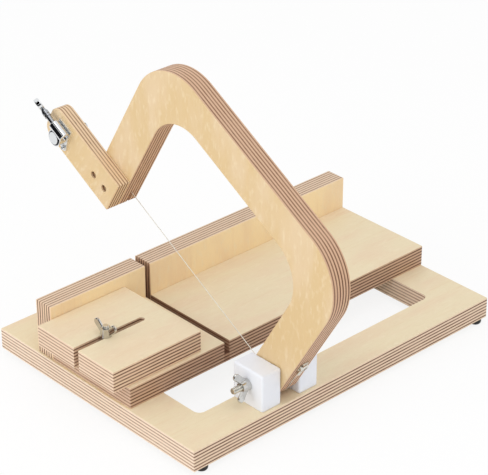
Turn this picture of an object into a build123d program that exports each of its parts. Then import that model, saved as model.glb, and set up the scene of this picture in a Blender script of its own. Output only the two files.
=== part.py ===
from build123d import *
import math
import os

os.makedirs("parts", exist_ok=True)

# Wire soap cutter, +Z up. X runs along the base and Y from the hinge side to the handle side.
# The cutter is drawn about the middle of its base, with the table at zero height. At the end
# it is moved so that the origin lies on the table under the middle of the whole cutter.

# Clearances
fit = 0.05
slide_gap = 0.1
side_gap = 0.3
overrun = 1.0
arris = 0.4

# Plywood and the base
ply = 18.0
base_length = 315.0
base_width = 228.0
side_rail = 34.0
front_rail = 33.0
window_cover = 14.0
window_corner = 6.0

# Bumper feet, placed by hand
foot_radius = 5.0
foot_height = 5.0
foot_round = 2.6
foot_inset_left = 11.7
foot_inset_right = 7.3
foot_inset_y = 5.4

# Bed, fence and the cutting slot
bed_from_front = 72.0
bed_depth = 92.0
bed_left_inset = 1.8
fence_height = 46.0
slot_from_left = 97.5
slot_width = 5.2
slot_depth = 10.0

# Sliding stop
stop_width = 85.0
stop_from_front = 75.0
stop_overhang = 11.0
stop_slot_width = 5.5
stop_slot_from_front = 43.0
stop_slot_length = 63.0
stop_bolt_from_left = 17.6

# Hinge blocks
block_width = 19.0
block_depth = 31.5
block_height = 31.0
block_front_inset = 2.75
block_round = 1.6
pivot_height = 18.0

# Bow arm, drawn with its wire level and its pivot at the origin
arm_tilt = 30.5
leg_width = 32.0
bow_reach = 183.0
bow_height = 103.5
outer_bend = 45.0
inner_bend = 34.0
tail = 20.0
wire_drop = 8.4
kerf_width = 1.6

# Handle board
handle_ply = 12.0
handle_height = 30.0
handle_length = 86.0
handle_corner = 9.0
handle_screw_inset = 11.0
handle_screw_pitch = 14.0
handle_screw_below = 0.8
handle_bore_radius = 2.9
handle_bore_depth = 5.0

# Bolts and wing nuts
bolt_radius = 2.5
bolt_chamfer = 0.5
head_flat = 8.0
head_height = 3.5
carriage_head_radius = 5.5
carriage_head_height = 2.8
carriage_bore_radius = 6.5
carriage_bore_depth = 4.0
hinge_bolt_tail = 8.2
stop_bolt_tail = 2.0
hub_base_radius = 4.7
hub_top_radius = 3.9
hub_height = 7.0
wing_thickness = 2.2
wing_root_radius = 2.7
wing_root_out = 3.0
wing_root_up = 3.3
wing_tip_radius = 2.9
wing_tip_out = 8.5
wing_tip_up = 8.9
wing_ease = 0.5
stop_nut_turn = 95.0
hinge_nut_turn = -16.5

# Screws
screw_radius = 2.0
screw_head_radius = 3.9
screw_head_height = 2.4
screw_sink = 0.3
screw_point = 3.0
block_screw_bite = 10.0
block_screw_spread = 8.5
bed_screw_bite = 12.0
bed_screw_from_end = 17.0
bed_screw_from_front = 16.0
fence_screw_bite = 20.0
fence_screw_from_end = 38.0
pan_radius_handle = 2.7
pan_height_handle = 1.9
handle_screw_radius = 1.5
handle_screw_bite = 12.0
cross_width = 0.7
cross_depth = 0.9

# Wire, its ring terminal and the anchor screw
wire_radius = 0.3
wire_bend = 0.6
wire_ease = 15.0
wire_entry = 30.0
wire_tail = 2.0
anchor_up = 28.7
ring_turn = 13.0
ring_radius = 5.2
ring_hole_radius = 2.0
ring_thickness = 0.8
barrel_radius = 1.35
barrel_bore_radius = 0.8
barrel_bore_depth = 2.2
barrel_length = 4.6
anchor_screw_radius = 1.6
anchor_head_radius = 3.5
anchor_head_height = 2.2
anchor_bite = 12.0

# Tuning machine that tightens the wire, seen from outside the handle
tuner_from_end = 18.7
tuner_below_middle = 1.3
plate_thickness = 1.2
plate_round = 7.4
lug_radius = 3.0
lug_back = 6.8
lug_down = 7.2
chamber_radius = 6.9
chamber_bore = 5.4
chamber_height = 8.2
cover_radius = 6.2
cover_thickness = 1.0
cover_dome = 0.5
worm_offset = 7.2
worm_height = 5.5
housing_radius = 4.4
housing_back = 7.4
housing_front = 7.9
housing_bore = 3.1
housing_lip = 0.5
tooth_count = 14
gear_thickness = 3.0
gear_radius = 4.95
gear_root = 4.0
tooth_share = 0.34
worm_root = 2.1
thread_radius = 0.42
thread_turns = 2.0
journal_length = 1.6
shaft_radius = 1.7
shaft_end = 22.5
ferrule_radius = 2.7
ferrule_groove = 2.1
ferrule_start = 8.2
ferrule_end = 21.8
ferrule_step = 1.3
button_start = 22.0
button_length = 10.0
button_width = 16.0
button_thickness = 4.2
button_corner = 4.6
button_round = 1.0
button_turn = -36.0
button_screw_radius = 0.9
button_screw_head = 1.8
button_screw_head_height = 0.9
button_screw_bite = 5.0
tuner_screw_radius = 1.2
tuner_screw_head = 2.1
tuner_screw_head_height = 1.6
tuner_screw_bite = 8.0
post_radius = 3.0
post_top_radius = 2.4
post_waist_radius = 2.2
post_step = 0.5
waist_back = 4.6
waist_front = 0.9
post_tip = 2.4
bushing_radius = 4.2
bushing_reach = 9.0
bushing_flat = 10.0
bushing_flange = 2.2
tuner_washer_radius = 6.0
tuner_washer_height = 0.8
turn_count = 3
turn_pitch = 1.1

# Levels and lines that follow from the sizes
base_top = foot_height + ply
bed_top = base_top + ply
fence_top = base_top + fence_height
stop_bottom = bed_top + slide_gap
stop_top = stop_bottom + ply
left_end = -base_length / 2
right_end = base_length / 2
front_edge = -base_width / 2
back_edge = base_width / 2
bed_front = front_edge + bed_from_front
bed_back = bed_front + bed_depth
cut_x = left_end + slot_from_left
stop_left = left_end - stop_overhang
stop_front = front_edge + stop_from_front
stop_bolt_x = left_end + stop_bolt_from_left
stop_bolt_y = stop_front + stop_slot_from_front
block_front = front_edge + block_front_inset
block_mid_y = block_front + block_depth / 2
pivot_y = block_mid_y
pivot_z = base_top + pivot_height
block_inner = ply / 2 + side_gap
block_outer = block_inner + block_width
half_leg = leg_width / 2
bow_end = bow_reach + leg_width
bow_top = bow_height + leg_width
handle_face = ply / 2 + handle_ply
handle_mid = handle_height / 2 - tail
tuner_s = bow_reach + handle_length - tuner_from_end
tuner_n = handle_mid - tuner_below_middle
turn_radius = post_waist_radius + wire_radius + slide_gap

# The arm's own plane: local x along the wire, local y up the bow, local z along +X
tilt = math.radians(arm_tilt)
along = Vector(0, math.cos(tilt), math.sin(tilt))
arm_plane = Plane(origin=(cut_x, pivot_y, pivot_z), x_dir=along, z_dir=(1, 0, 0))
tuner_origin = arm_plane.from_local_coords(Vector(tuner_s, tuner_n, -handle_face))
# The tuner's plane: local x along the handle, local z away from its face
tuner_plane = Plane(origin=tuner_origin, x_dir=along, z_dir=(-1, 0, 0))


def box_between(low, high):
    """A box from its lowest to its highest corner."""
    size = [b - a for a, b in zip(low, high)]
    centre = [(a + b) / 2 for a, b in zip(low, high)]
    return Pos(*centre) * Box(*size)


def drum(radius, low, high):
    """A cylinder on the Z axis between two heights."""
    return Pos(0, 0, (low + high) / 2) * Cylinder(radius, high - low)


def turned(points):
    """A solid of revolution about Z from (radius, height) points."""
    face = make_face(Polyline(*points, close=True))
    return revolve(Plane.XZ * face, Axis.Z)


def eased(board):
    """A board with its sharp edges broken."""
    return chamfer(board.edges(), arris)


def along_x(shape):
    """A shape drawn on the Z axis, laid along X."""
    return Rot(0, 90, 0) * shape


def ring(outer, inner, low, high):
    """A flat ring on the Z axis."""
    return drum(outer, low, high) - drum(inner, low - overrun, high + overrun)


def cross_recess(reach):
    """The cutter for a cross-shaped driver recess, pointing down from the origin."""
    bar = Box(2 * reach, cross_width, 2 * cross_depth)
    return bar + Rot(0, 0, 90) * bar


def flat_screw(length):
    """A countersunk wood screw whose head's face is at the origin and whose point is up."""
    shank_end = length - screw_point
    head = [(0, 0), (screw_head_radius, 0), (screw_radius, screw_head_height)]
    return turned(head + [(screw_radius, shank_end), (0, length)])


def flat_screw_hole(depth):
    """The cutter for a flat screw's head and shank through a board of that depth."""
    wide = screw_head_radius + fit
    narrow = screw_radius + fit
    neck = screw_sink + screw_head_height
    head = turned([(0, -overrun), (wide, -overrun), (wide, screw_sink), (narrow, neck), (0, neck)])
    return head + drum(narrow, 0, depth)


def pan_screw(shank, head, head_height, length):
    """A pan-head screw: the head's seat is at the origin, its top is up and its point is down."""
    point = min(screw_point, length / 3)
    edge = head_height / 3
    profile = [(0, -length), (shank, point - length), (shank, 0), (head, 0)]
    profile += [(head, head_height - edge), (head - edge, head_height), (0, head_height)]
    body = turned(profile)
    return body - Pos(0, 0, head_height) * cross_recess(head * 2 / 3)


def wing():
    """One wing of a wing nut: a plate with a round root and a round tip."""
    root = Pos(wing_root_out, wing_root_up) * Circle(wing_root_radius)
    tip = Pos(wing_tip_out, wing_tip_up) * Circle(wing_tip_radius)
    outline = make_hull((root + tip).edges())
    plate = extrude(Plane.XZ * outline, wing_thickness / 2, both=True)
    return chamfer(plate.edges(), wing_ease)


def wing_nut():
    """A wing nut that seats at the origin and stands up."""
    hub = turned([(0, 0), (hub_base_radius, 0), (hub_top_radius, hub_height), (0, hub_height)])
    wings = wing() + Rot(0, 0, 180) * wing()
    nut = hub + wings
    return nut - drum(bolt_radius + fit, -overrun, wing_tip_up + 2 * wing_tip_radius)


def biarc(p0, t0, p1, t1):
    """Two tangent arcs from p0 to p1 with the given unit directions at the ends."""
    chord = p1 - p0
    both = t0 + t1
    spread = 2 * (1 - t0.dot(t1))
    root = math.sqrt(chord.dot(both) ** 2 + 2 * spread * chord.dot(chord))
    reach = (root - chord.dot(both)) / (2 * spread)
    mid = (p0 + t0 * reach + p1 - t1 * reach) / 2
    turn = (p1 - t1 * reach - p0 - t0 * reach).normalized()
    return [TangentArc(p0, mid, tangent=t0), TangentArc(mid, p1, tangent=turn)]


def helix_points(radius, pitch, turns, start=0):
    """Places and directions a quarter turn apart on a right-handed helix about Z."""
    slope = math.atan2(pitch, 2 * math.pi * radius)
    points = []
    for index in range(round(4 * turns) + 1):
        angle = start + index * math.pi / 2
        place = Vector(radius * math.cos(angle), radius * math.sin(angle), pitch * index / 4)
        level = Vector(-math.sin(angle), math.cos(angle), 0) * math.cos(slope)
        points.append((place, level + Vector(0, 0, math.sin(slope))))
    return points


def helix_edges(points):
    """Biarcs of a quarter turn through a helix's points."""
    edges = []
    for (p0, t0), (p1, t1) in zip(points, points[1:]):
        edges += biarc(p0, t0, p1, t1)
    return edges


def tube(path, radius):
    """A round bar along a path."""
    return sweep(Plane(origin=path @ 0, z_dir=path % 0) * Circle(radius), path=path)


def winding(radius, pitch, turns, thickness):
    """A round bar wound about Z, as one unbroken tube."""
    return tube(Wire(helix_edges(helix_points(radius, pitch, turns))), thickness)


# Base and what is fixed to it


def foot_places():
    """The middles of the four feet."""
    xs = (left_end + foot_inset_left, right_end - foot_inset_right)
    ys = (front_edge + foot_inset_y, back_edge - foot_inset_y)
    return [(x, y) for x in xs for y in ys]


def block_screw_places():
    """The screws under the hinge blocks."""
    xs = [cut_x + side * (block_inner + block_width / 2) for side in (-1, 1)]
    return [(x, block_mid_y + side * block_screw_spread) for x in xs for side in (-1, 1)]


def bed_screw_places():
    """The screws under the bed, in the side rails."""
    xs = (left_end + bed_screw_from_end, right_end - bed_screw_from_end)
    ys = (bed_front + bed_screw_from_front, bed_back - bed_screw_from_front)
    return [(x, y) for x in xs for y in ys]


def fence_screw_places():
    """The screws under the fence."""
    y = bed_back + ply / 2
    return [(x, y) for x in (left_end + fence_screw_from_end, 0, right_end - fence_screw_from_end)]


def pilot(bite):
    """The cutter for the end of a flat screw, from the face where two boards meet."""
    return drum(screw_radius + fit, -overrun, bite + fit)


def base_board():
    board = box_between((left_end, front_edge, foot_height), (right_end, back_edge, base_top))
    board = eased(board)
    window_length = base_length - 2 * side_rail
    window_back = bed_back - window_cover
    window_width = window_back - front_edge - front_rail
    window = extrude(RectangleRounded(window_length, window_width, window_corner), ply + 2 * overrun)
    board -= Pos(0, window_back - window_width / 2, foot_height - overrun) * window
    for x, y in block_screw_places() + bed_screw_places() + fence_screw_places():
        board -= Pos(x, y, foot_height) * flat_screw_hole(ply + overrun)
    bore = drum(carriage_bore_radius, -overrun, carriage_bore_depth)
    bore += drum(bolt_radius + fit, 0, ply + overrun)
    return board - Pos(stop_bolt_x, stop_bolt_y, foot_height) * bore


def cutting_slot():
    """The cutter for the slot that the wire drops into, in the bed and the fence."""
    half = slot_width / 2
    low = (cut_x - half, bed_front - overrun, bed_top - slot_depth)
    return box_between(low, (cut_x + half, bed_back + ply + overrun, fence_top + overrun))


def bed_board():
    low = (left_end + bed_left_inset, bed_front, base_top)
    board = eased(box_between(low, (right_end, bed_back, bed_top))) - cutting_slot()
    for x, y in bed_screw_places():
        board -= Pos(x, y, base_top) * pilot(bed_screw_bite)
    bore = drum(bolt_radius + fit, -overrun, ply + overrun)
    return board - Pos(stop_bolt_x, stop_bolt_y, base_top) * bore


def rear_fence():
    low = (left_end + bed_left_inset, bed_back, base_top)
    board = eased(box_between(low, (right_end, bed_back + ply, fence_top))) - cutting_slot()
    for x, y in fence_screw_places():
        board -= Pos(x, y, base_top) * pilot(fence_screw_bite)
    return board


def rubber_feet():
    """Self-adhesive bumpers with a domed rim."""
    foot = drum(foot_radius, 0, foot_height)
    foot = fillet(foot.edges().sort_by(Axis.Z)[0], foot_round)
    return [Pos(x, y, 0) * foot for x, y in foot_places()]


def hinge_block(side):
    """A nylon block beside the arm's foot; side is -1 for left and 1 for right."""
    near, far = side * block_inner, side * block_outer
    low = (cut_x + min(near, far), block_front, base_top)
    high = (cut_x + max(near, far), block_front + block_depth, base_top + block_height)
    block = box_between(low, high)
    block = fillet(block.edges().sort_by(Axis.Z)[4:], block_round)
    bore = along_x(drum(bolt_radius + fit, -2 * block_outer, 2 * block_outer))
    block -= Pos(cut_x, pivot_y, pivot_z) * bore
    for x, y in block_screw_places():
        block -= Pos(x, y, base_top) * pilot(block_screw_bite)
    return block


def base_screws(places, bite):
    """Flat screws driven up through the base."""
    screw = flat_screw(ply + bite - screw_sink)
    return [Pos(x, y, foot_height + screw_sink) * screw for x, y in places]


# Bolts and nuts


def hinge_bolt():
    head_seat = block_outer
    end = -block_outer - hub_height - hinge_bolt_tail
    profile = [(0, end), (bolt_radius - bolt_chamfer, end), (bolt_radius, end + bolt_chamfer)]
    shank = turned(profile + [(bolt_radius, head_seat), (0, head_seat)])
    head = extrude(RegularPolygon(head_flat / 2, 6, major_radius=False), head_height)
    return Pos(cut_x, pivot_y, pivot_z) * along_x(shank + Pos(0, 0, head_seat) * head)


def hinge_wing_nut():
    """The nut that clamps the hinge, its wings nearly upright."""
    seat = Pos(cut_x - block_outer, pivot_y, pivot_z)
    return seat * Rot(hinge_nut_turn, 0, 0) * Rot(0, -90, 0) * wing_nut()


def stop_bolt():
    seat = foot_height + carriage_bore_depth
    end = stop_top + slide_gap + hub_height + stop_bolt_tail
    low = seat - carriage_head_height
    edge = carriage_head_height / 2
    profile = [(0, low), (carriage_head_radius - edge, low), (carriage_head_radius, seat - edge)]
    profile += [(carriage_head_radius, seat), (bolt_radius, seat)]
    profile += [(bolt_radius, end - bolt_chamfer), (bolt_radius - bolt_chamfer, end), (0, end)]
    return Pos(stop_bolt_x, stop_bolt_y, 0) * turned(profile)


def stop_wing_nut():
    seat = Pos(stop_bolt_x, stop_bolt_y, stop_top + slide_gap)
    return seat * Rot(0, 0, stop_nut_turn) * wing_nut()


def stop_block():
    """The sliding stop, slotted from its left end."""
    low = (stop_left, stop_front, stop_bottom)
    high = (stop_left + stop_width, bed_back - side_gap, stop_top)
    block = eased(box_between(low, high))
    half = stop_slot_width / 2
    slot_end = stop_left + stop_slot_length
    low = (stop_left - overrun, stop_bolt_y - half, stop_bottom - overrun)
    slot = box_between(low, (slot_end, stop_bolt_y + half, stop_top + overrun))
    slot += Pos(slot_end, stop_bolt_y, 0) * drum(half, stop_bottom - overrun, stop_top + overrun)
    return block - slot


# Arm, handle and wire, in the arm's plane


def near_vertices(face, points):
    """The corners of a face that lie at the given points."""
    corners = [Vector(*point) for point in points]
    return [min(face.vertices(), key=lambda v: (v.center() - corner).length) for corner in corners]


def bow_outline():
    """The bow: a leg from the pivot, a bridge, and a second leg down to the handle."""
    outer = [(-half_leg, 0), (-half_leg, bow_top), (bow_end, bow_top), (bow_end, -tail)]
    inner = [(bow_reach, -tail), (bow_reach, bow_height), (half_leg, bow_height), (half_leg, 0)]
    face = make_face(Polyline(*outer, *inner, close=True))
    face = fillet(near_vertices(face, outer[1:3]), outer_bend)
    face = fillet(near_vertices(face, inner[1:3]), inner_bend)
    return face + Circle(half_leg)


def wire_kerf(start, end, low):
    """The cutter for a saw kerf that holds the wire at the end of a leg."""
    top = wire_radius + fit - wire_drop
    half = kerf_width / 2
    return box_between((start - overrun, low - overrun, -half), (end + overrun, top, half))


def handle_screw_places():
    first = bow_reach + handle_screw_inset
    level = handle_mid - handle_screw_below
    return [(first, level), (first + handle_screw_pitch, level)]


def arm_board():
    board = extrude(bow_outline(), ply / 2, both=True)
    board = eased(board)
    board -= drum(bolt_radius + fit, -ply, ply)
    board -= wire_kerf(-half_leg, half_leg, -half_leg)
    board -= wire_kerf(bow_reach, bow_end, -tail)
    for s, n in handle_screw_places():
        board -= Pos(s, n, -ply / 2) * drum(handle_screw_radius + fit, -overrun, handle_screw_bite + fit)
    hole = drum(anchor_screw_radius + fit, -overrun, anchor_bite + fit)
    board -= Pos(-half_leg, anchor_up, 0) * along_x(hole)
    return board


def handle_board():
    """The grip, screwed to the arm's left face, flush with the bow's inner edge and end."""
    end = bow_reach + handle_length
    outline = Pos(bow_reach + handle_length / 2, handle_mid) * Rectangle(handle_length, handle_height)
    corners = near_vertices(outline, [(end, -tail), (end, handle_height - tail)])
    board = eased(extrude(fillet(corners, handle_corner), handle_ply))
    board = Pos(0, 0, -handle_face) * board
    for s, n in handle_screw_places():
        bore = drum(handle_bore_radius, -overrun, handle_bore_depth)
        bore += drum(handle_screw_radius + fit, 0, handle_ply + overrun)
        board -= Pos(s, n, -handle_face) * bore
    bore = drum(bushing_radius + fit, -overrun, handle_ply + overrun)
    board -= Pos(tuner_s, tuner_n, -handle_face) * bore
    lug = Pos(tuner_s - lug_back, tuner_n - lug_down, -handle_face)
    return board - lug * drum(tuner_screw_radius + fit, -overrun, tuner_screw_bite + fit)


def handle_screws():
    """Pan-head screws at the bottom of the handle's two bores."""
    length = handle_ply - handle_bore_depth + handle_screw_bite
    screw = Rot(180, 0, 0) * pan_screw(handle_screw_radius, pan_radius_handle, pan_height_handle, length)
    return [Pos(s, n, handle_bore_depth - handle_face) * screw for s, n in handle_screw_places()]


def ring_seat():
    """How far the ring terminal's face stands from the pivot's line."""
    return -half_leg - ring_thickness


def anchor_screw():
    """The screw that holds the wire's ring to the outer edge of the leg."""
    length = anchor_bite + ring_thickness
    screw = pan_screw(anchor_screw_radius, anchor_head_radius, anchor_head_height, length)
    return Pos(ring_seat(), anchor_up, 0) * Rot(0, -90, 0) * screw


def barrel_middle():
    """How far the crimped barrel's middle stands from the pivot's line."""
    return -half_leg - barrel_radius


def barrel_point(distance):
    """A point on the barrel's line, that far from the anchor screw."""
    turn = math.radians(ring_turn)
    return (barrel_middle(), anchor_up - distance * math.cos(turn), -distance * math.sin(turn))


def barrel_start():
    """How far from the anchor screw the barrel starts."""
    return (ring_radius + ring_hole_radius) / 2


def ring_terminal():
    """A flat ring with a crimped barrel that points down the leg."""
    eye = Pos(ring_seat(), 0, 0) * along_x(ring(ring_radius, ring_hole_radius, 0, ring_thickness))
    start = barrel_start()
    end = start + barrel_length
    barrel = drum(barrel_radius, start, end)
    barrel -= drum(barrel_bore_radius, end - barrel_bore_depth, end + overrun)
    barrel -= drum(wire_radius + fit, start + barrel_radius, end)
    terminal = eye + Pos(barrel_middle(), 0, 0) * Rot(90, 0, 0) * barrel
    return Pos(0, anchor_up, 0) * Rot(ring_turn, 0, 0) * terminal


def wire_route():
    """The wire's corners and their radii, from the ring down the leg and across the bow."""
    inside = barrel_point(barrel_start() + barrel_length / 2)
    outside = barrel_point(barrel_start() + barrel_length + barrel_radius)
    skin = half_leg + wire_radius + fit
    entry = math.radians(wire_entry)
    corner = (-skin, -skin * math.tan(entry / 2), 0)
    low = outside[1] / 2
    landing = (-skin, low, outside[2] * (low - corner[1]) / (outside[1] - corner[1]))
    drop = wire_drop - skin * math.sin(entry)
    bend = (drop * math.tan(entry) - skin * math.cos(entry), -wire_drop, 0)
    points = [inside, outside, landing, corner, bend, (bow_end, -wire_drop, 0)]
    return points, [wire_ease, wire_ease, skin, wire_bend, wire_ease]


def post_tangent():
    """Where the wire meets the post from below, and its angle round the post there."""
    across = tuner_s - bow_end
    rise = tuner_n + wire_drop
    angle = math.atan2(rise, across) - math.asin(turn_radius / math.hypot(across, rise))
    place = Vector(tuner_s, tuner_n, 0) + Vector(math.sin(angle), -math.cos(angle), 0) * turn_radius
    return place, angle


def wire_path():
    """The wire's whole route, with its turns on the post and a cut end."""
    points, radii = wire_route()
    place, angle = post_tangent()
    run = FilletPolyline(*points, place, radius=radii)
    helix = helix_points(turn_radius, -turn_pitch, turn_count, angle - math.pi / 2)
    helix = [(Vector(tuner_s, tuner_n, 0) + p, t) for p, t in helix]
    helix[0] = (place, Vector(math.cos(angle), math.sin(angle), 0))
    last, way = helix[-1]
    return Wire(run.edges() + helix_edges(helix) + [Line(last, last + way * wire_tail)])


def least_gap(path, radius, apart):
    """The least gap from a tube to itself, between points that lie further apart along it."""
    count = round(4 * path.length / radius)
    turns = turn_count * 2 * math.pi * turn_radius + 2 * wire_tail
    spots = [path @ (1 - turns * index / count / path.length) for index in range(count)]
    step = round(apart * count / turns)
    gaps = [(a - b).length for i, a in enumerate(spots) for b in spots[i + step :: 4]]
    return min(gaps) - 2 * radius


def cutting_wire():
    path = wire_path()
    wire = tube(path, wire_radius)
    section = math.pi * wire_radius**2
    print("cutting wire: length", round(path.length, 1), "from volume", round(wire.volume / section, 1))
    print("wire turns: least gap", round(least_gap(path, wire_radius, math.pi * turn_radius), 2))
    return wire


# Tuning machine, in the tuner's plane


def worm_axis(shape):
    """A shape drawn on the Z axis, laid along the worm's line."""
    return Pos(0, -worm_offset, worm_height) * along_x(shape)


def tuner_housing():
    """The cast body: a foot plate with a lug, a round gear chamber and the worm's barrel."""
    round_plate = Circle(plate_round)
    lug = Pos(-lug_back, lug_down) * Circle(lug_radius)
    middle = (housing_front - housing_back) / 2
    strip = Pos(middle, -worm_offset) * Rectangle(housing_back + housing_front, 2 * housing_radius)
    plate = extrude(make_hull((round_plate + lug).edges()) + strip, plate_thickness)
    body = plate + drum(chamber_radius, 0, chamber_height)
    barrel = drum(housing_radius, -housing_back, housing_front)
    barrel = chamfer(barrel.edges().filter_by(GeomType.CIRCLE), housing_lip)
    body += worm_axis(barrel)
    body -= drum(chamber_bore, plate_thickness, chamber_height + overrun)
    body -= drum(cover_radius + fit, chamber_height, worm_height + 2 * housing_radius)
    body -= worm_axis(drum(housing_bore, -housing_back - overrun, housing_front + overrun))
    body -= drum(post_radius + fit, -overrun, chamber_height)
    return body - Pos(-lug_back, lug_down, 0) * drum(tuner_screw_radius + fit, -overrun, chamber_height)


def tuner_cover():
    """The round cap over the gear."""
    edge = cover_radius - cover_dome
    top = chamber_height + cover_thickness
    profile = [(0, chamber_height), (cover_radius, chamber_height), (cover_radius, top - cover_dome)]
    return turned(profile + [(edge, top), (0, top)])


def gear_tooth():
    """One tooth of the worm wheel, pointing along +X."""
    half_root = gear_root * math.pi * (1 - tooth_share) / tooth_count
    half_tip = gear_root * math.pi * tooth_share / tooth_count
    back = gear_root - wire_radius
    tip = [(gear_radius, -half_tip), (gear_radius, half_tip)]
    return make_face(Polyline((back, -half_root), *tip, (back, half_root), close=True))


def tuner_gear():
    """The worm wheel on the post."""
    outline = Circle(gear_root)
    for index in range(tooth_count):
        outline += Rot(0, 0, 90 + 360 / tooth_count * index) * gear_tooth()
    wheel = extrude(outline, gear_thickness / 2, both=True)
    return Pos(0, 0, worm_height) * wheel - drum(post_top_radius, 0, chamber_height)


def tuner_worm():
    """The worm with its journals and the shaft that carries the button."""
    pitch = 2 * math.pi * (worm_offset - worm_root - thread_radius) / tooth_count
    reach = pitch * thread_turns / 2
    journal = housing_bore - fit
    back = housing_front - journal_length
    neck = journal_length - back
    profile = [(0, -back), (journal, -back), (journal, neck), (worm_root, neck)]
    profile += [(worm_root, back), (journal, back), (journal, housing_front), (shaft_radius, housing_front)]
    profile += [(shaft_radius, shaft_end), (0, shaft_end)]
    # Half a pitch on each side of a tooth of the wheel
    start = -90 - 180 * thread_turns
    thread = Rot(0, 0, start) * winding(worm_root + thread_radius / 2, pitch, thread_turns, thread_radius)
    thread = Pos(0, 0, -reach) * thread
    body = turned(profile) + thread
    hole = drum(button_screw_radius, shaft_end - button_screw_bite, shaft_end + overrun)
    return worm_axis(body - hole)


def tuner_ferrule():
    """The ringed sleeve on the shaft between the barrel and the button."""
    step = ferrule_step
    low, high = ferrule_start, ferrule_end
    mid = high - 5 * step
    profile = [(shaft_radius + fit, low), (ferrule_groove, low), (ferrule_groove, mid), (ferrule_radius, mid)]
    profile += [(ferrule_radius, mid + step), (ferrule_groove, mid + step), (ferrule_groove, mid + 2 * step)]
    profile += [(ferrule_radius, mid + 2 * step), (ferrule_radius, mid + 4 * step)]
    profile += [(ferrule_groove, mid + 4 * step), (ferrule_groove, high), (shaft_radius + fit, high)]
    return worm_axis(turned(profile))


def tuner_button():
    """The flat oval button, standing edge-on to the photograph's view."""
    middle = button_start + button_length / 2
    outline = RectangleRounded(button_length, button_width, button_corner)
    plate = extrude(outline, button_thickness / 2, both=True)
    plate = fillet(plate.edges().filter_by(lambda e: abs(e.center().Z) > button_thickness / 3), button_round)
    bore = along_x(drum(shaft_radius + fit, 0, shaft_end + fit))
    screw = along_x(drum(button_screw_radius + fit, 0, button_start + button_length + overrun))
    plate = Pos(middle, 0, 0) * plate - bore - screw
    return Pos(0, -worm_offset, worm_height) * Rot(button_turn, 0, 0) * plate


def tuner_button_screw():
    end = button_start + button_length
    reach = end - shaft_end + button_screw_bite
    screw = pan_screw(button_screw_radius, button_screw_head, button_screw_head_height, reach)
    return worm_axis(Pos(0, 0, end) * screw)


def tuner_fixing_screw():
    length = tuner_screw_bite + plate_thickness
    screw = pan_screw(tuner_screw_radius, tuner_screw_head, tuner_screw_head_height, length)
    return Pos(-lug_back, lug_down, plate_thickness) * screw


def tuner_post():
    """The post that winds the wire, with a waist for its turns."""
    top = chamber_height - slide_gap
    shoulder = worm_height - gear_thickness / 2
    wide = -handle_face + waist_back
    narrow = wide - post_step
    front = -handle_face - waist_front
    tip = -handle_face - post_tip
    profile = [(0, top), (post_top_radius, top), (post_top_radius, shoulder), (post_radius, shoulder)]
    profile += [(post_radius, wide), (post_waist_radius, narrow), (post_waist_radius, front)]
    profile += [(post_radius, front - post_step)]
    profile += [(post_radius, tip + post_step), (post_radius - post_step, tip), (0, tip)]
    return turned(profile)


def tuner_bushing():
    """The threaded bushing with a hexagon flange, on the handle's far side."""
    seat = -handle_ply - tuner_washer_height
    flange = extrude(RegularPolygon(bushing_flat / 2, 6, major_radius=False), bushing_flange)
    body = Pos(0, 0, seat - bushing_flange) * flange + drum(bushing_radius, seat, seat + bushing_reach)
    return body - drum(post_radius + fit, seat - bushing_flange - overrun, overrun)


def tuner_washer():
    seat = -handle_ply
    return ring(tuner_washer_radius, bushing_radius + fit, seat - tuner_washer_height, seat)


on_arm = arm_plane.location
on_tuner = tuner_plane.location

nodes = {
    "base_board": [base_board()],
    "bed_board": [bed_board()],
    "rear_fence": [rear_fence()],
    "rubber_feet": rubber_feet(),
    "hinge_block_left": [hinge_block(-1)],
    "hinge_block_right": [hinge_block(1)],
    "hinge_block_screws": base_screws(block_screw_places(), block_screw_bite),
    "bed_screws": base_screws(bed_screw_places(), bed_screw_bite),
    "fence_screws": base_screws(fence_screw_places(), fence_screw_bite),
    "hinge_bolt": [hinge_bolt()],
    "hinge_wing_nut": [hinge_wing_nut()],
    "stop_block": [stop_block()],
    "stop_bolt": [stop_bolt()],
    "stop_wing_nut": [stop_wing_nut()],
    "arm_board": [on_arm * arm_board()],
    "handle_board": [on_arm * handle_board()],
    "handle_screws": [on_arm * screw for screw in handle_screws()],
    "anchor_screw": [on_arm * anchor_screw()],
    "ring_terminal": [on_arm * ring_terminal()],
    "cutting_wire": [on_arm * cutting_wire()],
    "tuner_housing": [on_tuner * tuner_housing()],
    "tuner_cover": [on_tuner * tuner_cover()],
    "tuner_worm": [on_tuner * tuner_worm()],
    "tuner_ferrule": [on_tuner * tuner_ferrule()],
    "tuner_button": [on_tuner * tuner_button()],
    "tuner_button_screw": [on_tuner * tuner_button_screw()],
    "tuner_fixing_screw": [on_tuner * tuner_fixing_screw()],
    "tuner_gear": [on_tuner * tuner_gear()],
    "tuner_post": [on_tuner * tuner_post()],
    "tuner_bushing": [on_tuner * tuner_bushing()],
    "tuner_washer": [on_tuner * tuner_washer()],
}

boxes = [solid.bounding_box() for solids in nodes.values() for solid in solids]
left = min(box.min.X for box in boxes)
right = max(box.max.X for box in boxes)
front = min(box.min.Y for box in boxes)
back = max(box.max.Y for box in boxes)
centre = Vector((left + right) / 2, (front + back) / 2, 0)

for name, solids in nodes.items():
    solids = [Pos(-centre) * solid for solid in solids]
    shape = solids[0] if len(solids) == 1 else Compound(children=solids)
    export_step(shape, f"parts/{name}.step")


def tell(name, place):
    """Print a place as it lies from the origin."""
    print(name, [round(value, 3) for value in Vector(place) - centre])


tell("base middle", (0, 0, 0))
tell("hinge", (cut_x, pivot_y, pivot_z))
tell("tuner post", tuner_origin)
tell("tuner worm", tuner_plane.from_local_coords(Vector(0, -worm_offset, worm_height)))
tell("stop bolt", (stop_bolt_x, stop_bolt_y, stop_top))
print("overall", round(right - left, 1), round(back - front, 1))
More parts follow.
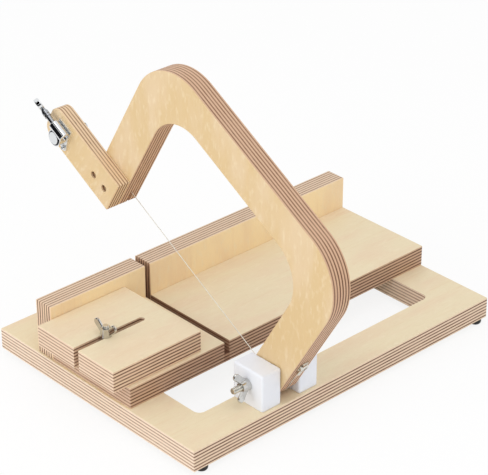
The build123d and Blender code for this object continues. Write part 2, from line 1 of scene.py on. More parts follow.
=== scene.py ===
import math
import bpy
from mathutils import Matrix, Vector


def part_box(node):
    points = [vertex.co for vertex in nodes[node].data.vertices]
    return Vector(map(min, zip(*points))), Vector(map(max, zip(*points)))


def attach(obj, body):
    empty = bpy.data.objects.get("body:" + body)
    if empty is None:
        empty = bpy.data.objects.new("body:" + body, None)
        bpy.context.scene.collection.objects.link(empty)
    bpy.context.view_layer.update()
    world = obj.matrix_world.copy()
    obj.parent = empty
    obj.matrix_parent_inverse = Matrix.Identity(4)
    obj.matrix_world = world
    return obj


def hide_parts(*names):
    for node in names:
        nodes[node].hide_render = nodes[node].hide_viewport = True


bl_info = {
    "name": "Wire Soap Cutter",
    "version": (1, 0, 0),
    "blender": (4, 5, 0),
    "location": "View3D > Sidebar > Soap Cutter",
    "description": "Finishes a plywood soap cutter with a hinged bow and a taut wire",
    "category": "Add Mesh",
}

import bmesh
import bpy
from bpy.props import FloatProperty, FloatVectorProperty, IntProperty, PointerProperty
from mathutils import Matrix, Vector

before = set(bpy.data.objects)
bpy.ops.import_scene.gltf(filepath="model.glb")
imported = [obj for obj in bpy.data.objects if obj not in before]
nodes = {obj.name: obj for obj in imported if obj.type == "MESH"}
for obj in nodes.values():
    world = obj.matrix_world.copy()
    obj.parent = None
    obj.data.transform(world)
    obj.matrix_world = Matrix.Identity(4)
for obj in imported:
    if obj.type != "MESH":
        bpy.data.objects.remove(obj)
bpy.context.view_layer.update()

MM = 0.001
# The bow leans back from upright by this much at rest
BOW_TILT = math.radians(30.5)

# Each board: its node, the axis across its layers, how many layers it has, the turn of its
# grain about X, the axis of its grain, which settings colour its face, and the painted shade that
# its edges take on where less light reaches them, in screen values
BOARDS = [
    ("base_board", 2, 13, 0.0, 0, "top", (255, 255, 255)),
    ("bed_board", 2, 13, 0.0, 0, "top", (223, 209, 200)),
    ("stop_block", 2, 13, 0.0, 0, "top", (249, 243, 237)),
    ("rear_fence", 1, 13, 0.0, 2, "fence", (247, 242, 236)),
    ("arm_board", 0, 13, 0.0, 2, "bow", (233, 214, 200)),
    ("handle_board", 0, 9, BOW_TILT, 2, "bow", (252, 244, 226)),
]

# The boards that the cutting slot runs through, the slot's middle along X, half its width, and how
# far past its walls the scorched tone reaches, which is partly scorch and partly painted shade of the narrow
# slot
SLOT_BOARDS = ("bed_board", "rear_fence")
SLOT_MIDDLE = -54.5 * MM
SLOT_HALF = 2.6 * MM
SCORCH_AND_SHADE_REACH = 0.15 * MM

# Size of the patches along a board's edge and through its layers, size of the layers' waves, and how
# far each layer's noise is shifted from the last one's
EDGE_PATCH = 26 * MM
EDGE_DEPTH = 2 * MM
EDGE_WAVE = 30 * MM
LAYER_SHIFT = (7.3, 3.1, 5.7)

# The bolts: the radius of the thread's crest, the height of each head, the length of each thread, and
# the bevel of the hexagon head
BOLT_CREST = 2.48 * MM
HINGE_HEAD = 3.5 * MM
HINGE_THREAD = 24 * MM
STOP_HEAD = 2.8 * MM
STOP_THREAD = 30 * MM
HEAD_BEVEL = 0.5 * MM

# The flat-head screws under the base: the reach in plan that holds the points of one screw, how far
# a screw's origin lies above its solid's lowest level, and how much shorter than its solid it is
SCREW_REACH = 9 * MM
SCREW_LIFT = 1.2 * MM
SCREW_SHORTER = 3 * MM
SCREW_SIZES = {
    "Head Radius": 3.9 * MM,
    "Shank Radius": 2.0 * MM,
    "Head Height": 2.4 * MM,
    "Recess Width": 0.8 * MM,
    "Recess Reach": 1.9 * MM,
    "Recess Depth": 1.2 * MM,
}

# The tuner's cover: its disc and the places on its shoulder, as shares of its radius and height, and
# the width of its small bevels
COVER_DISC_SHARE = 0.82
COVER_SHOULDER_SHARES = ((1.0, 0.1), (0.97, 0.35), (0.91, 0.55))
COVER_BEVEL = 0.1 * MM

# How wide the change is to each side of its middle: between the cover's chrome and its painted black shade,
# and between the housing's two platings
COVER_BLEND = 0.03 * MM
FOOT_BLEND = 0.05 * MM

# The stage, in metres: the floor's reach, the black card, and what the lamps face
FLOOR_REACH = 6.0
CARD_LEFT = -0.36
CARD_NEAR = 0.05
CARD_FAR = 0.44
CARD_HEIGHT = 0.44
LAMP_TARGET = (0.0, 0.0, 0.06)

# Where metal sees the room dark, as a direction and the cosines between which the dark comes in:
# behind the camera, and high on the left
DARK_PATCHES = (
    ((-0.593, -0.641, 0.487), 0.82, 0.88),
    ((-0.525, -0.14, 0.839), 0.978, 0.988),
)


def linear(red, green, blue):
    """A colour given in screen values from 0 to 255, as the linear values that Blender stores."""
    values = [channel / 255 for channel in (red, green, blue)]
    return tuple(v / 12.92 if v <= 0.04045 else ((v + 0.055) / 1.055) ** 2.4 for v in values)


# Tones without a setting
ACROSS_LIGHT = linear(240, 220, 199)
EDGE_FIBRE = linear(206, 166, 134)
EDGE_GAP = linear(66, 44, 32)
FACE_STREAK = linear(224, 188, 140)
FACE_FLECK = linear(246, 232, 204)
FACE_PORE = linear(196, 150, 106)
# Painted reflection: a bluish sky tone on the tuner cover's disc
COVER_PAINTED_SKY = linear(206, 218, 224)
# Painted shade: black on the tuner cover's shoulder
PAINTED_SHADE_BLACK = linear(34, 36, 42)
HOUSING_SHADE = linear(214, 216, 220)
SATIN_FOOT = linear(236, 234, 226)
NYLON_SHADE = linear(228, 232, 241)
RUBBER_DUST = linear(70, 68, 66)
CARD_BLACK = linear(22, 22, 26)


# Settings


def colour(name, description, default):
    """A colour setting."""
    return FloatVectorProperty(
        name=name, description=description, default=default, size=3, subtype="COLOR", min=0, max=1
    )


def length(name, description, default):
    """A length setting in metres."""
    return FloatProperty(
        name=name, description=description, default=default, min=0, unit="LENGTH", precision=5
    )


def power(name, description, default):
    """A lamp's power setting in watts."""
    return FloatProperty(name=name, description=description, default=default, min=0, unit="POWER")


def share(name, description, default):
    """A setting between nothing and all."""
    return FloatProperty(name=name, description=description, default=default, min=0, max=1, subtype="FACTOR")


class PlywoodSettings(bpy.types.PropertyGroup):
    """Birch plywood, its faces and its layered edges."""

    top_face: colour("Top Faces", "Colour of the level faces", linear(238, 223, 190))
    bow_face: colour("Bow Faces", "Colour of the bow's and the grip's faces", linear(220, 192, 145))
    # The fence's faces are painted lighter, standing in for the bounced light that the fence gets less of
    fence_face: colour("Fence Faces", "Colour of the fence's faces", linear(253, 228, 182))
    top_clouds: colour("Top Clouds", "Colour of the clouds in the level veneer", linear(237, 216, 185))
    bow_clouds: colour("Bow Clouds", "Colour of the clouds in the bow's veneer", linear(226, 201, 164))
    # The fence's clouds are painted lighter too, as painted light
    fence_clouds: colour("Fence Clouds", "Colour of the clouds in the fence's veneer", linear(246, 218, 176))
    light_layer: colour("Light Layers", "Edge colour of the wide light layers", linear(236, 209, 184))
    dark_layer: colour("Dark Layers", "Edge colour of the narrow dark layers", linear(112, 75, 53))
    end_grain: colour("End Grain", "Edge colour where the outer layers are cut across", linear(182, 150, 125))
    # The slots' tone is partly scorch and partly painted shade of the deep, narrow slot
    scorch_and_painted_shade: colour("Scorched Slots", "Tone that sawn slots take on", linear(228, 216, 208))
    waviness: share("Waviness", "How far the layers wander, as a share of one layer", 0.16)
    pore_relief: length("Pore Relief", "Depth of the pores on the faces", 0.02 * MM)


class HardwareSettings(bpy.types.PropertyGroup):
    """Nylon blocks, rubber feet, bolts, nuts and screws."""

    nylon: colour("Nylon", "Colour of the hinge blocks", linear(238, 241, 248))
    rubber: colour("Rubber", "Colour of the feet", linear(26, 25, 24))
    zinc: colour("Zinc Plate", "Colour of bolts and screws", linear(226, 224, 216))
    cast_zinc: colour("Cast Zinc", "Colour of the wing nuts", linear(208, 207, 203))
    thread_pitch: length("Thread Pitch", "Pitch of the bolts' threads", 0.8 * MM)
    thread_depth: length("Thread Depth", "Depth of the bolts' threads", 0.4 * MM)
    thread_sides: IntProperty(
        name="Thread Steps", description="Steps in one turn of a thread", default=32, min=8, max=96
    )
    cast_edge: length("Cast Edge", "Width of the soft edges of the cast nuts", 0.3 * MM)


class TunerSettings(bpy.types.PropertyGroup):
    """The chromed worm tuner, the wire and its ring."""

    chrome: colour("Chrome", "Colour of the tuner's plating", linear(226, 228, 230))
    # The ferrule is chrome with a darker tint that paints in its dark reflections
    ferrule: colour("Ferrule", "Colour of the ringed sleeve", linear(176, 178, 182))
    brass: colour("Brass", "Colour of the worm wheel", linear(214, 176, 98))
    wire: colour("Wire", "Colour of the cutting wire", linear(234, 230, 218))
    terminal: colour("Terminal", "Colour of the ring and the crimped barrel", linear(214, 210, 200))
    cast_edge: length("Cast Edge", "Width of the soft edges of the cast housing", 0.2 * MM)
    plate: length("Foot Plate", "Thickness of the satin foot plate", 1.2 * MM)


class StageSettings(bpy.types.PropertyGroup):
    """Camera, floor and lamps."""

    camera_place: FloatVectorProperty(
        name="Camera",
        description="Place of the camera",
        default=(-0.919296, -0.989483, 0.848483),
        size=3,
        subtype="TRANSLATION",
    )
    camera_turn: FloatVectorProperty(
        name="Camera Turn",
        description="Turn of the camera",
        default=tuple(math.radians(angle) for angle in (90 - 29.13, 0.0, -42.783)),
        size=3,
        subtype="EULER",
    )
    camera_lens: FloatProperty(name="Lens", description="Focal length in millimetres", default=147.75, min=1)
    floor_colour: colour("Floor", "Colour of the floor", linear(255, 255, 255))
    floor_shadow: share("Floor Shadow", "How much of its shadows the floor keeps in the picture", 0.15)
    sky: FloatProperty(
        name="Room Light", description="Strength of the even light of the room", default=0.75, min=0
    )
    dark_side: share("Dark Side", "How dark metal sees the dark side of the room", 0.92)
    key: power("Main Lamp", "Power of the lamp above", 8.0)
    left: power("Left Lamp", "Power of the lamp on the left", 8.8)


def settings():
    """The settings of the scene's soap cutter."""
    return bpy.context.scene.soap_cutter


# Node trees


class Flow:
    """A socket in a node tree. Arithmetic with it adds Math nodes."""

    def __init__(self, tree, socket):
        self.tree = tree
        self.socket = socket

    def output(self, name):
        """Another output of the same node."""
        return Flow(self.tree, self.socket.node.outputs[name])

    def maths(self, operation, *values):
        """The result of a Math node in the same tree."""
        return self.tree.node("ShaderNodeMath", {"operation": operation}, dict(enumerate(values)))

    def __add__(self, other):
        return self.maths("ADD", self, other)

    def __sub__(self, other):
        return self.maths("SUBTRACT", self, other)

    def __rsub__(self, other):
        return self.maths("SUBTRACT", other, self)

    def __mul__(self, other):
        return self.maths("MULTIPLY", self, other)

    def __truediv__(self, other):
        return self.maths("DIVIDE", self, other)

    __radd__ = __add__
    __rmul__ = __mul__


class Tree:
    """A shader or geometry tree that is built one node at a time."""

    def __init__(self, tree):
        self.tree = tree
        tree.nodes.clear()

    def node(self, kind, options=None, values=None, output=0):
        """Add a node, set its options, then set or link its inputs, and return one output."""
        node = self.tree.nodes.new(kind)
        for name, value in (options or {}).items():
            if name == "stops":
                self.set_stops(node.color_ramp, value)
            else:
                setattr(node, name, value)
        for name, value in (values or {}).items():
            if isinstance(value, Flow):
                self.tree.links.new(value.socket, node.inputs[name])
            else:
                node.inputs[name].default_value = value
        return Flow(self, node.outputs[output]) if len(node.outputs) else node

    @staticmethod
    def set_stops(ramp, stops):
        """Give a colour ramp its stops."""
        while len(ramp.elements) < len(stops):
            ramp.elements.new(1.0)
        for element, (place, tint) in zip(ramp.elements, stops):
            element.position = place
            element.color = (*tint, 1.0)


def mix(tree, factor, first, second, mode="MIX"):
    """Two colours mixed by a factor."""
    values = {0: factor}
    for index, tint in ((6, first), (7, second)):
        values[index] = tint if isinstance(tint, Flow) else (*tint, 1.0)
    return tree.node("ShaderNodeMix", {"data_type": "RGBA", "blend_type": mode}, values, 2)


def band(tree, value, low, high):
    """A smooth step from 0 at low to 1 at high."""
    values = {"Value": value, "From Min": low, "From Max": high}
    return tree.node("ShaderNodeMapRange", {"interpolation_type": "SMOOTHSTEP"}, values)


def own_axes(tree, size, turn=(0.0, 0.0, 0.0)):
    """Object coordinates along a piece's own axes, in steps of the given size."""
    place = tree.node("ShaderNodeTexCoord", output="Object")
    values = {"Vector": place, "Rotation": turn, "Scale": size}
    return tree.node("ShaderNodeMapping", {"vector_type": "TEXTURE"}, values)


def noise(tree, vector, detail=2.0, roughness=0.5, scale=1.0):
    """Cloudy noise between 0 and 1."""
    values = {"Vector": vector, "Scale": scale, "Detail": detail, "Roughness": roughness}
    return tree.node("ShaderNodeTexNoise", None, values)


def bump(tree, height, distance):
    """A normal from a height in metres times the distance."""
    return tree.node("ShaderNodeBump", None, {"Strength": 1.0, "Distance": distance, "Height": height})


def surface(tree, values):
    """The shader and the output that end a material."""
    shader = tree.node("ShaderNodeBsdfPrincipled", None, values)
    tree.node("ShaderNodeOutputMaterial", None, {"Surface": shader})


def new_material(name):
    """An empty material and its tree."""
    material = bpy.data.materials.new(name)
    material.use_nodes = True
    return material, Tree(material.node_tree)


# Finishes


def plywood_edge(tree, depth, along, across, wood):
    """Colour of the layers, from the depth through the board counted in layers.

    Across is 0 where the edge runs along the grain of the outer layers and 1 where it cuts it.
    """
    pair = depth / 2
    place = pair.maths("FRACT", pair)
    number = depth.maths("FLOOR", depth)
    shift = {axis: number * step for axis, step in zip("XYZ", LAYER_SHIFT)}
    shift = tree.node("ShaderNodeCombineXYZ", None, shift)
    patch = tree.node("ShaderNodeVectorMath", {"operation": "ADD"}, {0: along, 1: shift})
    tone = noise(tree, patch, 3.0, 0.6)
    fibre = noise(tree, patch, 2.0, 0.7, 5.0)
    light = mix(tree, 0.7 * band(tree, tone, 0.4, 0.7), tuple(wood.light_layer), tuple(wood.top_clouds))
    light = mix(tree, 0.8 * across, light, ACROSS_LIGHT)
    light = mix(tree, 0.22 * band(tree, fibre, 0.5, 0.8), light, EDGE_FIBRE)
    dark = mix(tree, 0.75 * across, tuple(wood.dark_layer), tuple(wood.end_grain))
    line = band(tree, place, 0.50, 0.60) * (1 - band(tree, place, 0.90, 1.0))
    line = line * (0.78 + 0.3 * band(tree, tone, 0.35, 0.65))
    layers = mix(tree, line, light, dark)
    gap = band(tree, noise(tree, patch, 1.0, 0.5, 4.0), 0.71, 0.75) * line
    return mix(tree, gap, layers, EDGE_GAP)


def plywood_face(tree, turn, grain, tint, clouds):
    """Colour and pores of a face veneer whose grain runs along one of its axes."""

    def figure(across, along, detail, roughness):
        """Noise with one size across the grain and another along it."""
        size = [across] * 3
        size[grain] = along
        return noise(tree, own_axes(tree, size, turn), detail, roughness)

    streaks = figure(3.2 * MM, 60 * MM, 4.0, 0.65)
    pores = figure(0.35 * MM, 5 * MM, 2.0, 0.6)
    cloud = figure(22 * MM, 70 * MM, 3.0, 0.55)
    flecks = figure(4 * MM, 9 * MM, 2.0, 0.6)
    face = mix(tree, 0.9 * band(tree, cloud, 0.4, 0.68), tint, clouds)
    face = mix(tree, 0.22 * band(tree, streaks, 0.5, 0.8), face, FACE_STREAK)
    face = mix(tree, 0.3 * band(tree, flecks, 0.5, 0.75), face, FACE_FLECK)
    face = mix(tree, 0.14 * band(tree, pores, 0.52, 0.75), face, FACE_PORE)
    return face, pores


def scorched_and_shaded(tree, board, colours, split):
    """The board's colours, darkened on the walls of its slot, partly as scorch and partly as painted shade.
    """
    if board not in SLOT_BOARDS:
        return colours
    side = split.output("X")
    offset = side.maths("ABSOLUTE", side - SLOT_MIDDLE)
    # Slot walls multiplied by the tone of scorch and painted shade
    inside = offset.maths("LESS_THAN", offset, SLOT_HALF + SCORCH_AND_SHADE_REACH)
    return mix(tree, inside, colours, tuple(settings().plywood.scorch_and_painted_shade), "MULTIPLY")


def plywood(board, axis, layers, turn, grain, veneer, painted_edge_shade):
    """Birch plywood for one board, with its layers stacked along one axis."""
    wood = settings().plywood
    material, tree = new_material(f"plywood_{board}")
    low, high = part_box(board)
    thickness = high[axis] - low[axis]
    place = tree.node("ShaderNodeTexCoord", output="Object")
    split = tree.node("ShaderNodeSeparateXYZ", None, {0: place})
    position = split.output("XYZ"[axis])
    along_size = [EDGE_PATCH] * 3
    along_size[axis] = EDGE_DEPTH
    along = own_axes(tree, along_size)
    wander = noise(tree, own_axes(tree, [EDGE_WAVE] * 3), 1.0)
    depth = (position - low[axis]) * (layers / thickness)
    bent = depth + (wander - 0.5) * (2 * wood.waviness)
    grain_line = Matrix.Rotation(turn, 3, "X") @ Vector([float(index == grain) for index in range(3)])
    values = {0: place.output("Normal"), 1: grain_line}
    across = tree.node("ShaderNodeVectorMath", {"operation": "DOT_PRODUCT"}, values, 1)
    edge = plywood_edge(tree, bent, along, across * across, wood)
    # Each board's edges multiplied by its painted shade
    edge = mix(tree, 1.0, edge, linear(*painted_edge_shade), "MULTIPLY")
    tint = tuple(getattr(wood, veneer + "_face"))
    clouds = tuple(getattr(wood, veneer + "_clouds"))
    face, pores = plywood_face(tree, (turn, 0.0, 0.0), grain, tint, clouds)
    near = depth.maths("MINIMUM", depth, layers - depth)
    skin = 1 - band(tree, near, 0.08, 0.35)
    base = scorched_and_shaded(tree, board, mix(tree, skin, edge, face), split)
    relief = bump(tree, pores, wood.pore_relief)
    rough = 0.5 + pores * 0.14
    surface(tree, {"Base Color": base, "Roughness": rough, "Normal": relief, "Specular IOR Level": 0.35})
    return material


def metal(name, tint, rough, spread, size, tone=0.8, metallic=1.0):
    """Plated metal with faint changes in tone and gloss."""
    material, tree = new_material(name)
    cloud = noise(tree, own_axes(tree, [size] * 3), 3.0, 0.6)
    fine = noise(tree, own_axes(tree, [size / 8] * 3), 2.0, 0.6)
    darker = tuple(value * tone for value in tint)
    base = mix(tree, band(tree, cloud, 0.4, 0.8), tuple(tint), darker)
    surface(tree, {"Base Color": base, "Metallic": metallic, "Roughness": rough + (fine - 0.5) * spread})
    return material


def cover_chrome_with_painted_shade(name, tint, centre, radius):
    """Chrome that is bright inside a radius about a line along X, and painted black as shade outside it."""
    material, tree = new_material(name)
    place = tree.node("ShaderNodeTexCoord", output="Object")
    values = {"Vector": place, "Location": (0.0, centre.y, centre.z)}
    offset = tree.node("ShaderNodeMapping", {"vector_type": "TEXTURE"}, values)
    offset = tree.node("ShaderNodeVectorMath", {"operation": "MULTIPLY"}, {0: offset, 1: (0.0, 1.0, 1.0)})
    apart = tree.node("ShaderNodeVectorMath", {"operation": "LENGTH"}, {0: offset}, 1)
    cloud = noise(tree, own_axes(tree, [1.5 * MM] * 3), 2.0)
    outside = band(tree, apart, radius - COVER_BLEND, radius + COVER_BLEND)
    # Bluish clouds on the disc paint in a reflection of the sky
    bright = mix(tree, 0.5 * band(tree, cloud, 0.4, 0.8), tuple(tint), COVER_PAINTED_SKY)
    # Past the disc the chrome is painted black, a painted shade
    base = mix(tree, outside, bright, PAINTED_SHADE_BLACK)
    surface(tree, {"Base Color": base, "Metallic": 1.0, "Roughness": 0.05 + outside * 0.15 + cloud * 0.04})
    return material


def housing_plating(name, tint, level):
    """Chrome on the cast housing, and satin on its foot plate, past a level along X."""
    material, tree = new_material(name)
    place = tree.node("ShaderNodeTexCoord", output="Object")
    split = tree.node("ShaderNodeSeparateXYZ", None, {0: place})
    foot = band(tree, split.output("X"), level - FOOT_BLEND, level + FOOT_BLEND)
    cloud = noise(tree, own_axes(tree, [2.5 * MM] * 3), 3.0, 0.6)
    bright = mix(tree, band(tree, cloud, 0.4, 0.8), tuple(tint), HOUSING_SHADE)
    base = mix(tree, foot, bright, SATIN_FOOT)
    rough = 0.05 + foot * 0.35 + cloud * 0.04
    surface(tree, {"Base Color": base, "Metallic": 1.0 - foot * 0.45, "Roughness": rough})
    return material


def nylon(name, tint):
    """White nylon with faint saw marks."""
    material, tree = new_material(name)
    marks = noise(tree, own_axes(tree, (40 * MM, 40 * MM, 0.7 * MM)), 2.0, 0.6)
    cloud = noise(tree, own_axes(tree, [12 * MM] * 3), 2.0)
    base = mix(tree, 0.4 * band(tree, cloud, 0.4, 0.8), tuple(tint), NYLON_SHADE)
    values = {"Base Color": base, "Roughness": 0.55 + marks * 0.12, "Normal": bump(tree, marks, 0.012 * MM)}
    surface(tree, values)
    return material


def rubber(name, tint):
    """Moulded black rubber with a little dust."""
    material, tree = new_material(name)
    dust = noise(tree, own_axes(tree, [1.6 * MM] * 3), 3.0, 0.7)
    base = mix(tree, 0.4 * band(tree, dust, 0.55, 0.8), tuple(tint), RUBBER_DUST)
    surface(tree, {"Base Color": base, "Roughness": 0.55 + dust * 0.2, "Normal": bump(tree, dust, 0.01 * MM)})
    return material


def dress(piece, material):
    """Give a piece one material."""
    piece.data.materials.clear()
    piece.data.materials.append(material)


def finish(node, material):
    """Give a CAD node one material."""
    dress(nodes[node], material)


# Meshes


def new_object(name, mesh):
    """An object at the origin, in the scene."""
    piece = bpy.data.objects.new(name, mesh)
    bpy.context.scene.collection.objects.link(piece)
    return piece


def settled(piece):
    """Make what a piece's modifiers give its plain mesh, and remove them."""
    graph = bpy.context.evaluated_depsgraph_get()
    mesh = bpy.data.meshes.new_from_object(piece.evaluated_get(graph))
    piece.modifiers.clear()
    piece.data = mesh
    return piece


def plain_mesh(name, shape):
    """The mesh of a bmesh, which is freed."""
    mesh = bpy.data.meshes.new(name)
    shape.to_mesh(mesh)
    shape.free()
    return mesh


def merged_copy(node, reach):
    """A CAD node's shape, with the corners joined that lie within a reach."""
    shape = bmesh.new()
    shape.from_mesh(nodes[node].data)
    bmesh.ops.remove_doubles(shape, verts=shape.verts, dist=reach)
    return shape


def rounded(name, node, step, rounds, material):
    """A copy of a CAD node with all its edges well rounded."""
    piece = new_object(name, plain_mesh(name, merged_copy(node, 1e-6)))
    remesh = piece.modifiers.new("Skin", "REMESH")
    remesh.mode = "VOXEL"
    remesh.voxel_size = step
    ease = piece.modifiers.new("Ease", "SMOOTH")
    ease.factor = 0.5
    ease.iterations = rounds
    settled(piece)
    dress(piece, material)
    piece.data.shade_smooth()
    return piece


def softened(name, node, width, material):
    """A copy of a CAD node with its sharp edges bevelled and its large faces kept flat."""
    shape = merged_copy(node, 2e-6)
    bmesh.ops.dissolve_limit(shape, angle_limit=math.radians(1), verts=shape.verts, edges=shape.edges)
    mesh = plain_mesh(name, shape)
    mesh.shade_smooth()
    piece = new_object(name, mesh)
    bevel = piece.modifiers.new("Arris", "BEVEL")
    bevel.width = width
    bevel.segments = 2
    bevel.limit_method = "ANGLE"
    bevel.angle_limit = math.radians(35)
    weigh = piece.modifiers.new("Normals", "WEIGHTED_NORMAL")
    weigh.weight = 80
    settled(piece)
    dress(piece, material)
    return piece


def stands_for(piece, node, body):
    """Let a piece take a CAD node's place on its body."""
    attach(piece, body)
    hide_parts(node)


def geometry_tree(name, inputs):
    """A new geometry tree with named inputs, and its group input."""
    group = bpy.data.node_groups.new(name, "GeometryNodeTree")
    group.interface.new_socket("Geometry", in_out="INPUT", socket_type="NodeSocketGeometry")
    for label, kind in inputs:
        group.interface.new_socket(label, in_out="INPUT", socket_type=kind)
    group.interface.new_socket("Geometry", in_out="OUTPUT", socket_type="NodeSocketGeometry")
    tree = Tree(group)
    return group, tree, tree.node("NodeGroupInput")


def joined(tree, *parts):
    """Several geometries as one."""
    node = tree.tree.nodes.new("GeometryNodeJoinGeometry")
    for part in reversed(parts):
        tree.tree.links.new(part.socket, node.inputs[0])
    return Flow(tree, node.outputs[0])


def end_tree(tree, geometry, material):
    """Realize the instances, set the material and end the tree."""
    whole = tree.node("GeometryNodeRealizeInstances", None, {0: geometry})
    whole = tree.node("GeometryNodeSetMaterial", None, {"Geometry": whole, "Material": material})
    tree.node("NodeGroupOutput", None, {0: whole})


def moved(tree, geometry, place):
    """A geometry moved by a vector."""
    return tree.node("GeometryNodeTransform", None, {"Geometry": geometry, "Translation": place})


def grown(name, mesh, group, values):
    """The plain mesh that a geometry tree makes from a mesh and its named values."""
    piece = new_object(name, mesh)
    modifier = piece.modifiers.new("Shape", "NODES")
    modifier.node_group = group
    for item in group.interface.items_tree:
        if item.item_type == "SOCKET" and item.in_out == "INPUT" and item.name in values:
            modifier[item.identifier] = values[item.name]
    return settled(piece)


def thread_group():
    """A tree for a threaded rod that stands on the origin."""
    names = ("Crest Radius", "Thread Depth", "Pitch", "Plain Length", "Thread Length")
    inputs = [(name, "NodeSocketFloat") for name in names]
    inputs += [("Steps", "NodeSocketInt"), ("Material", "NodeSocketMaterial")]
    group, tree, given = geometry_tree("threaded_rod", inputs)
    crest, depth = given.output("Crest Radius"), given.output("Thread Depth")
    pitch = given.output("Pitch")
    threaded, plain = given.output("Thread Length"), given.output("Plain Length")
    core = crest - depth
    rod = {"Vertices": 48, "Radius": core, "Depth": threaded + plain}
    height = tree.node("ShaderNodeCombineXYZ", None, {"Z": (threaded + plain) / 2})
    middle = moved(tree, tree.node("GeometryNodeMeshCylinder", None, rod), height)
    shank = tree.node("GeometryNodeMeshCylinder", None, {"Vertices": 48, "Radius": crest, "Depth": plain})
    shank = moved(tree, shank, tree.node("ShaderNodeCombineXYZ", None, {"Z": plain / 2}))
    turns = (threaded - pitch) / pitch
    spiral = {
        "Resolution": given.output("Steps"),
        "Rotations": turns,
        "Start Radius": core,
        "End Radius": core,
        "Height": threaded - pitch,
    }
    helix = tree.node("GeometryNodeCurveSpiral", None, spiral)
    helix = moved(tree, helix, tree.node("ShaderNodeCombineXYZ", None, {"Z": plain + pitch / 2}))
    profile = tree.node("GeometryNodeCurvePrimitiveCircle", None, {"Resolution": 6, "Radius": depth})
    sweep = {"Curve": helix, "Profile Curve": profile, "Fill Caps": True}
    ridge = tree.node("GeometryNodeCurveToMesh", None, sweep)
    end_tree(tree, joined(tree, middle, shank, ridge), given.output("Material"))
    return group


def screw_group():
    """A tree for flat-head screws with a cross recess, one at each point, their points up."""
    inputs = [(name, "NodeSocketFloat") for name in ("Length", *SCREW_SIZES)]
    inputs += [("Material", "NodeSocketMaterial")]
    group, tree, given = geometry_tree("cross_screws", inputs)
    head, shank = given.output("Head Radius"), given.output("Shank Radius")
    tall = given.output("Head Height")
    cone = {"Vertices": 40, "Radius Top": shank, "Radius Bottom": head, "Depth": tall}
    cone = tree.node("GeometryNodeMeshCone", None, cone)
    width, reach = given.output("Recess Width"), given.output("Recess Reach")
    deep = given.output("Recess Depth") * 2
    bars = []
    for wide, long in ((width, reach * 2), (reach * 2, width)):
        size = tree.node("ShaderNodeCombineXYZ", None, {"X": wide, "Y": long, "Z": deep})
        bars.append(tree.node("GeometryNodeMeshCube", None, {"Size": size}))
    cross = tree.node("GeometryNodeMeshBoolean", {"operation": "UNION", "solver": "EXACT"})
    for bar in bars:
        tree.tree.links.new(bar.socket, cross.socket.node.inputs["Mesh 2"])
    cut = {"Mesh 1": cone, "Mesh 2": cross}
    top = tree.node("GeometryNodeMeshBoolean", {"operation": "DIFFERENCE", "solver": "EXACT"}, cut)
    stem = {"Vertices": 24, "Radius": shank, "Depth": given.output("Length") - tall}
    stem = tree.node("GeometryNodeMeshCylinder", None, stem)
    lift = (given.output("Length") + tall) / 2
    stem = moved(tree, stem, tree.node("ShaderNodeCombineXYZ", None, {"Z": lift}))
    values = {"Points": given.output("Geometry"), "Instance": joined(tree, top, stem)}
    screws = tree.node("GeometryNodeInstanceOnPoints", None, values)
    end_tree(tree, screws, given.output("Material"))
    return group


def solid_places(node, apart):
    """The middle of each separate solid of a CAD node, and its lowest level."""
    groups = []
    for vertex in nodes[node].data.vertices:
        for group in groups:
            if (group[0].xy - vertex.co.xy).length < apart:
                group.append(vertex.co.copy())
                break
        else:
            groups.append([vertex.co.copy()])
    places = []
    for group in groups:
        low = [min(point[i] for point in group) for i in range(3)]
        high = [max(point[i] for point in group) for i in range(3)]
        places.append(Vector(((low[0] + high[0]) / 2, (low[1] + high[1]) / 2, low[2])))
    return places


def turned(profile, steps):
    """A solid of revolution about Z from radius and height pairs, which start and end on the axis."""
    shape = bmesh.new()
    points = [shape.verts.new((radius, 0, height)) for radius, height in profile]
    edges = [shape.edges.new(pair) for pair in zip(points, points[1:])]
    bmesh.ops.spin(shape, geom=points + edges, cent=(0, 0, 0), axis=(0, 0, 1), angle=2 * math.pi, steps=steps)
    bmesh.ops.remove_doubles(shape, verts=shape.verts, dist=1e-7)
    bmesh.ops.recalc_face_normals(shape, faces=shape.faces)
    return shape


def hexagon_head(radius, height, bevel):
    """A bolt's hexagon head that stands on the origin, its top edges broken."""
    shape = bmesh.new()
    bmesh.ops.create_cone(shape, cap_ends=True, segments=6, radius1=radius, radius2=radius, depth=height)
    bmesh.ops.translate(shape, verts=shape.verts, vec=(0, 0, height / 2))
    top = [edge for edge in shape.edges if all(vertex.co.z > height * 0.9 for vertex in edge.verts)]
    bmesh.ops.bevel(shape, geom=top, offset=bevel, segments=2, affect="EDGES")
    return shape


def round_head(radius, height, steps):
    """A low domed head that stands on the origin."""
    profile = [(0.0, 0.0), (radius, 0.0)]
    for index in range(1, steps + 1):
        angle = math.pi / 2 * index / steps
        profile.append((radius * math.cos(angle), height * math.sin(angle)))
    return turned(profile, 40)


def bolt(name, place, head, plain, threaded, crest, material):
    """A bolt whose head's seat is at place and whose shank runs along place's Z axis."""
    hardware = settings().hardware
    values = {
        "Crest Radius": crest,
        "Thread Depth": hardware.thread_depth,
        "Pitch": hardware.thread_pitch,
        "Plain Length": plain,
        "Thread Length": threaded,
        "Steps": hardware.thread_sides,
        "Material": material,
    }
    piece = grown(name, bpy.data.meshes.new(name), thread_group(), values)
    shape = bmesh.new()
    shape.from_mesh(piece.data)
    bmesh.ops.rotate(head, verts=head.verts, cent=(0, 0, 0), matrix=Matrix.Rotation(math.pi, 3, "X"))
    shape.from_mesh(plain_mesh(name + "_head", head))
    shape.to_mesh(piece.data)
    shape.free()
    piece.data.transform(place)
    return piece


